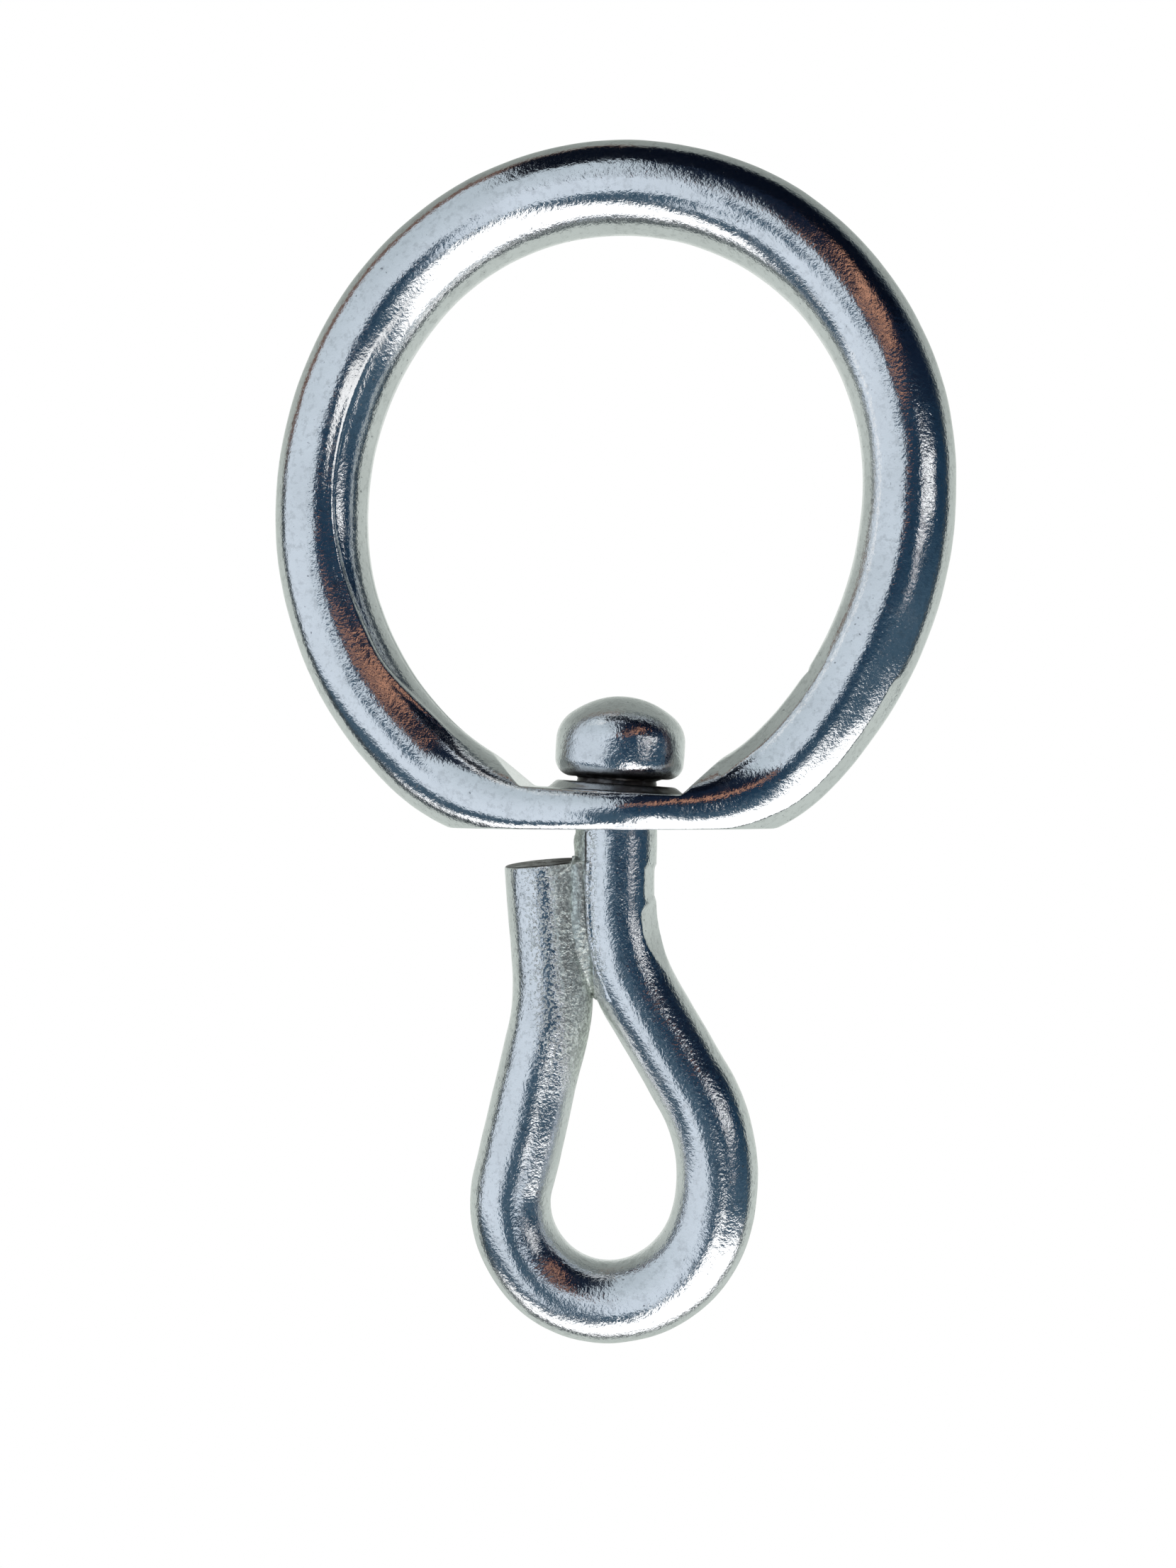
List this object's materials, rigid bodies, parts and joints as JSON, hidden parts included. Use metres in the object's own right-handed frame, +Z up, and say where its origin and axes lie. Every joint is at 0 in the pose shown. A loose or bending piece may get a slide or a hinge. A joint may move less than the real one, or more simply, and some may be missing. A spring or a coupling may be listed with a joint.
{
  "type": "swivel ring for a meat hook",
  "caption": "Forged hanging ring with a headed rod that turns in its pierced flat and is bent into a welded teardrop eye below.",
  "frame": {"origin": "on the swivel axis, at the inside of the ring's crown, where the ring bears on its rail", "axes": "+Z up along the swivel axis with the part hanging, the ring lies in the XZ plane, -Y is the front, +X to the right as seen from the front"},
  "size_m": [0.0664, 0.0168, 0.1169],
  "materials": {
    "ring_steel": "bright plated forged steel, faint orange peel",
    "eye_steel": "bright plated steel rod, mottled near the weld",
    "weld_metal": "plated weld metal, grainy"
  },
  "bodies": {
    "ring": {"swivel_ring": "ring_steel"},
    "eye": {"eye_rod": "eye_steel", "weld_bead": "weld_metal"}
  },
  "joints": [
    {"name": "swivel", "type": "hinge", "parent": "ring", "child": "eye", "pos_m": [0, 0, -0.05425], "axis": [0, 0, 1], "continuous": true}
  ]
}
